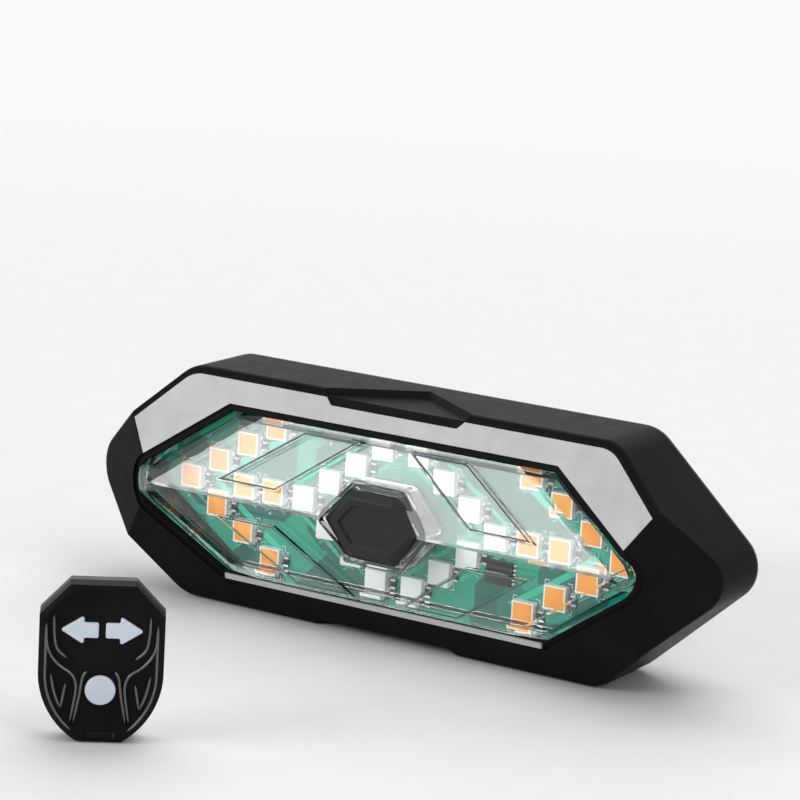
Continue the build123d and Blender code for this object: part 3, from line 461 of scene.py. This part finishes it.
def copper_runs(name, material):
    """Copper runs beside both arrows, each one bent at the tip, with two short runs to every diode."""
    work = bmesh.new()
    for source, places in run_places.items():
        tip, middle, slope, reach = arrow(source)
        for side in (-1, 1):
            for run_place in places:
                x = tip + run_place * MM
                far = reach - abs(run_place) * run_trim_share * MM
                rises = (far, run_tip_half, -run_tip_half, -far)
                line = [Vector((side * (x - slope * abs(rise)), middle + rise)) for rise in rises]
                strip(work, line, run_width, run_height)
        for low, high in solids(source):
            x = (low.x + high.x) / 2
            for side in (-1, 1):
                start = Vector((x + side * stub_shift, low.z))
                bend = start + Vector((0.0, -stub_drop))
                end = bend + Vector((side * stub_shift * stub_turn_share, -stub_end_drop))
                strip(work, [start, bend, end], run_width, run_height)
    add_piece(name, work, material, "light")


copper_runs("copper_runs", copper)

# Printed marks: corners round the diodes, and bars beside the resistors
mark_width, mark_height, mark_gap, mark_arm = 0.16 * MM, 0.02 * MM, 0.62 * MM, 1.0 * MM
bar_gap, bar_half = 0.9 * MM, 0.5 * MM


def printed_corners(name, material):
    """Printed corner marks round every diode and a bar beside every resistor."""
    work = bmesh.new()
    for source in ("amber_leds", "white_leds"):
        for low, high in solids(source):
            for x, across in ((low.x - mark_gap, mark_arm), (high.x + mark_gap, -mark_arm)):
                for z, rise in ((low.z - mark_gap, mark_arm), (high.z + mark_gap, -mark_arm)):
                    line = [Vector((x + across, z)), Vector((x, z)), Vector((x, z + rise))]
                    strip(work, line, mark_width, mark_height)
    for low, high in solids("resistors"):
        x, z = (low.x + high.x) / 2, high.z + bar_gap
        strip(work, [Vector((x - bar_half, z)), Vector((x + bar_half, z))], mark_width, mark_height)
    add_piece(name, work, material, "light")


printed_corners("printed_corners", marking)

# Rounded beads, which make the ridges, rims, ribs and lip
bead_steps, bead_end_share, bead_growth_share = 8, 0.25, 0.3
bead_sink = 0.05 * MM
curve_steps = 5


def smooth_line(points):
    """Points of a smooth curve through the given ones."""
    ends = [points[0]] + points + [points[-1]]
    line = []
    for a, b, c, d in zip(ends, ends[1:], ends[2:], ends[3:]):
        for step in range(curve_steps):
            t = step / curve_steps
            line.append(0.5 * (2 * b + (c - a) * t + (2 * a - 5 * b + 4 * c - d) * t ** 2
                               + (3 * b - a - 3 * c + d) * t ** 3))
    return line + [points[-1]]


def bead(work, line, radius, spot):
    """Half-round bead along a line, thinned at both ends; spot turns across, up and rise into a place."""
    rings = []
    last = len(line) - 1
    for index, point in enumerate(line):
        along = (line[min(index + 1, last)] - line[max(index - 1, 0)]).normalized()
        side = Vector((-along.y, along.x))
        thin = radius * min(1.0, bead_end_share + bead_growth_share * min(index, last - index))
        ring = []
        for step in range(bead_steps + 1):
            turn = math.pi * step / bead_steps
            flat = point + side * (thin * math.cos(turn))
            ring.append(work.verts.new(spot(flat.x, flat.y, thin * math.sin(turn))))
        rings.append(ring)
    add_skin(work, rings, smooth=True)


# Ridges on the right half of the remote, in shares of its half width and its height
ridge_radius, ridge_sink = 0.26 * MM, 0.12 * MM
ridge_shares = [
    [(0.765, 0.825), (0.755, 0.70), (0.70, 0.60), (0.525, 0.538)],
    [(0.885, 0.775), (0.87, 0.64), (0.80, 0.56), (0.665, 0.497), (0.463, 0.440), (0.392, 0.377),
     (0.40, 0.299), (0.475, 0.12)],
    [(0.22, 0.465), (0.29, 0.418), (0.335, 0.30), (0.42, 0.12)],
    [(0.80, 0.45), (0.73, 0.32), (0.625, 0.217)],
    [(0.625, 0.217), (0.59, 0.30), (0.55, 0.387)],
]

# Ridge inside the remote's side: straight down to the bend, then along an arc to the foot
side_sink, side_steps = 0.3 * MM, 8
side_inset_share, base_half_share = 0.115, 0.365
side_top_share, side_bend_share, side_foot_share = 0.77, 0.443, 0.08

joints = {joint["name"]: joint for joint in frame["joints"]}
remote_inward = Vector(joints["left_key_press"]["axis"])
remote_right = Vector((remote_inward.y, -remote_inward.x, 0.0))


def side_line(half, height):
    """Line inside the side of a remote of this half width and height."""
    top, bend, foot = side_top_share * height, side_bend_share * height, side_foot_share * height
    reach = half * (1 - base_half_share)
    radius = (reach ** 2 + bend ** 2) / (2 * reach)
    inner = radius - half * side_inset_share
    line = [Vector((half * (1 - side_inset_share), z)) for z in (top, (top + bend) / 2, bend)]
    for step in range(1, side_steps + 1):
        rise = bend + (foot - bend) * step / side_steps
        line.append(Vector((half - radius + math.sqrt(inner ** 2 - (bend - rise) ** 2), rise)))
    return line


def remote_ridges(name, material):
    """Ridges on the remote's face, mirrored, and one along each side."""
    shape = [vert.co for vert in nodes["remote_top_shell"].data.vertices]
    across = [co.dot(remote_right) for co in shape]
    half, middle = (max(across) - min(across)) / 2, (min(across) + max(across)) / 2
    height = max(co.z for co in shape) - min(co.z for co in shape)
    front = min(co.dot(remote_inward) for co in shape)

    def face_spot(depth):
        def spot(across, up, rise):
            inward = remote_inward * (depth - rise)
            return remote_right * (middle + across) + inward + Vector((0, 0, up))

        return spot

    lines = [[Vector((x * half, z * height)) for x, z in shares] for shares in ridge_shares]
    depths = [front + ridge_sink] * len(lines) + [front + side_sink]
    work = bmesh.new()
    for line, depth in zip(lines + [side_line(half, height)], depths):
        for side in (-1, 1):
            mirrored = [Vector((side * point.x, point.y)) for point in line]
            bead(work, smooth_line(mirrored), ridge_radius, face_spot(depth))
    add_piece(name, work, material, "remote")


remote_ridges("remote_ridges", ridge)

# Strap: rims along its edges and grip ribs between them, each way from its middle by half a sweep
rim_radius, rim_inset, rim_half_sweep, rim_half_steps = 0.45 * MM, 0.8 * MM, math.radians(58.0), 20
grip_radius, grip_margin, grip_half_sweep = 0.35 * MM, 2.6 * MM, math.radians(24.0)
grip_count, grip_steps = 11, 6


def strap_rims(name, material):
    """Raised rims round both edges of the strap and short grip ribs between them."""
    low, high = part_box("strap")
    clamp = [mount for mount in frame["record"]["mounts"] if mount["kind"] == "clamp"][0]
    centre = Vector(clamp["pos_m"])
    radius = high.y - centre.y - bead_sink

    def spot(across, up, rise):
        turn = across / radius
        reach = radius + rise
        return Vector((centre.x + reach * math.sin(turn), centre.y + reach * math.cos(turn), up))

    work = bmesh.new()
    for z in (low.z + rim_inset, high.z - rim_inset):
        steps = range(-rim_half_steps, rim_half_steps + 1)
        line = [Vector((radius * rim_half_sweep * step / rim_half_steps, z)) for step in steps]
        bead(work, line, rim_radius, spot)
    length = high.z - low.z - 2 * grip_margin
    rises = [low.z + grip_margin + length * step / grip_steps for step in range(grip_steps + 1)]
    for index in range(grip_count):
        across = radius * grip_half_sweep * (2 * index / (grip_count - 1) - 1)
        bead(work, [Vector((across, rise)) for rise in rises], grip_radius, spot)
    add_piece(name, work, material, "seatpost_bracket")


strap_rims("strap_rims", rubber)

# Charging flap: half length, height over its lower edge and radius of each bead, in millimetres
flap_beads = ((3.2, 1.3, 0.6), (2.2, 3.0, 0.25), (2.2, 3.9, 0.25))
flap_half_steps = 5


def flap_lip(name, material):
    """Finger lip near the lower edge of the charging flap, with two short lines above it."""
    low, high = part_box("usb_cover")
    middle, surface = (low.x + high.x) / 2, high.y - bead_sink

    def spot(across, up, rise):
        return Vector((middle + across, surface + rise, up))

    work = bmesh.new()
    for half, up, radius in flap_beads:
        steps = range(-flap_half_steps, flap_half_steps + 1)
        line = [Vector((half * MM * step / flap_half_steps, low.z + up * MM)) for step in steps]
        bead(work, line, radius * MM, spot)
    add_piece(name, work, material, "port_flap")


flap_lip("flap_lip", rubber)

# Borders of the lens panels: the corners of one are in millimetres from the lens's middle
panel_corners = ((23.4, 3.7), (38.5, 3.7), (19.5, 16.5), (5.6, 16.5))
border_inset, border_width, border_rise = 0.25 * MM, 0.36 * MM, 0.09 * MM
probe_start, probe_share = 10.0 * MM, 0.5


def panel_borders(name, material):
    """Low ridge round each panel, on the panel's own plane, which three probes from the front find."""
    low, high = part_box("lens")
    middle = (low.z + high.z) / 2
    work = bmesh.new()
    for side in (-1, 1):
        for up in (-1, 1):
            corners = [Vector((side * x * MM, middle + up * z * MM)) for x, z in panel_corners]
            heart = sum(corners, Vector((0, 0))) / len(corners)
            hits = []
            for corner in corners[:3]:
                aim = heart + (corner - heart) * probe_share
                start = Vector((aim.x, low.y - probe_start, aim.y))
                hits.append(nodes["lens"].ray_cast(start, Vector((0, 1, 0)))[1])
            normal = (hits[1] - hits[0]).cross(hits[2] - hits[0])
            rings = []
            for share, rise in ((0.0, 0.0), (0.5, border_rise), (1.0, 0.0)):
                inset = border_inset + border_width * share
                ring = []
                for before, corner, after in zip(corners[-1:] + corners, corners, corners[1:] + corners):
                    coming = (corner - before).normalized()
                    going = (after - corner).normalized()
                    turn = abs(coming.x * going.y - coming.y * going.x)
                    point = corner + (going - coming) * (inset / turn)
                    gap = normal.x * (point.x - hits[0].x) + normal.z * (point.y - hits[0].z)
                    ring.append(work.verts.new((point.x, hits[0].y - gap / normal.y - rise, point.y)))
                rings.append(ring + ring[:1])
            add_skin(work, rings)
    add_piece(name, work, material, "light")


panel_borders("panel_borders", border)

# Studio: a pale floor that fades into the backdrop's tone between two distances
backdrop_tone, fill_tone = (0.95, 0.95, 0.95), (0.20, 0.20, 0.20)
floor_half, floor_drop, fade_start, fade_end = 2.0, 0.2 * MM, 0.35, 0.9


def seen_directly(tree):
    """1 for camera, glossy and transmission rays, so that gloss and glass show the backdrop too."""
    path = node(tree, "ShaderNodeLightPath")
    seen = path.outputs["Is Camera Ray"]
    for ray in ("Is Glossy Ray", "Is Transmission Ray"):
        larger = node(tree, "ShaderNodeMath", operation="MAXIMUM")
        tree.links.new(seen, larger.inputs[0])
        tree.links.new(path.outputs[ray], larger.inputs[1])
        seen = larger.outputs["Value"]
    return seen


def floor_paint():
    """Pale floor that keeps the shadow near the object and fades into the backdrop's tone further out."""
    made = moulded("pale_floor", (0.89, 0.89, 0.89), (0.91, 0.91, 0.91), rough=(0.6, 0.7), spec=0.2)
    tree = made.node_tree
    distance = node(tree, "ShaderNodeVectorMath", operation="LENGTH")
    tree.links.new(place(tree), distance.inputs[0])
    fade = span(tree, distance.outputs["Value"], 0.0, 1.0, start=fade_start, end=fade_end)
    faded = node(tree, "ShaderNodeMath", operation="MULTIPLY")
    tree.links.new(fade, faded.inputs[0])
    tree.links.new(seen_directly(tree), faded.inputs[1])
    tone = node(tree, "ShaderNodeEmission", {"Color": (*backdrop_tone, 1.0)})
    paint = tree.nodes["Principled BSDF"].outputs["BSDF"]
    blend_shaders(tree, faded.outputs["Value"], paint, tone.outputs["Emission"])
    return made


floor_mesh = bpy.data.meshes.new("floor")
floor_corners = [(x * floor_half, y * floor_half, 0.0) for x, y in ((-1, -1), (1, -1), (1, 1), (-1, 1))]
floor_mesh.from_pydata(floor_corners, [], [(0, 1, 2, 3)])
floor_mesh.materials.append(floor_paint())
floor = bpy.data.objects.new("floor", floor_mesh)
bpy.context.scene.collection.objects.link(floor)
floor.location.z = -floor_drop

world = bpy.data.worlds.new("studio")
bpy.context.scene.world = world
world.use_nodes = True
sky = world.node_tree
sky_tone = blend_colors(sky, seen_directly(sky), fill_tone, backdrop_tone)
sky.links.new(sky_tone, sky.nodes["Background"].inputs["Color"])


def area_lamp(name, spot, aim, width, height, power):
    """Soft rectangular lamp that looks at a point."""
    lamp = bpy.data.lights.new(name, "AREA")
    lamp.shape = "RECTANGLE"
    lamp.size = width
    lamp.size_y = height
    lamp.energy = power
    obj = bpy.data.objects.new(name, lamp)
    bpy.context.scene.collection.objects.link(obj)
    obj.location = spot
    obj.rotation_mode = "QUATERNION"
    obj.rotation_quaternion = (Vector(aim) - Vector(spot)).to_track_quat("-Z", "Y")


# Lamps: a key at the front left, a wide panel overhead at the back, and three weak fills at the right
light_middle = (0.0, -0.02, 0.03)
area_lamp("front_panel", (-0.62, -0.98, 0.52), light_middle, width=0.60, height=0.50, power=5.3)
area_lamp("wide_panel", (-0.8, 1.7, 2.0), (-0.8, 1.7, 0.0), width=3.4, height=3.4, power=60.0)
area_lamp("rim_panel", (0.62, -0.16, 0.85), (0.0, -0.02, 0.0), width=0.5, height=0.8, power=2.6)
area_lamp("side_panel", (1.2, -0.6, 0.5), light_middle, width=0.5, height=0.5, power=1.0)
area_lamp("low_panel", (0.75, -0.95, 0.10), light_middle, width=0.5, height=0.16, power=1.1)

# Camera: placed and turned as the photograph's own camera
camera_right = (0.85005, 0.52373, 0.05591)
camera_up = (-0.15646, 0.14973, 0.97627)
camera_back = (0.50293, -0.83862, 0.20922)
camera_spot = (0.325594, -0.557243, 0.186344)
camera = bpy.data.objects.new("camera", bpy.data.cameras.new("camera"))
bpy.context.scene.collection.objects.link(camera)
camera_rows = [list(row) for row in zip(camera_right, camera_up, camera_back, camera_spot)]
camera.matrix_world = Matrix(camera_rows + [[0.0, 0.0, 0.0, 1.0]])
camera.data.sensor_width = 36.0
camera.data.lens = 142.15
camera.data.clip_start = 0.01
bpy.context.scene.camera = camera

bpy.context.scene.view_settings.view_transform = "Standard"
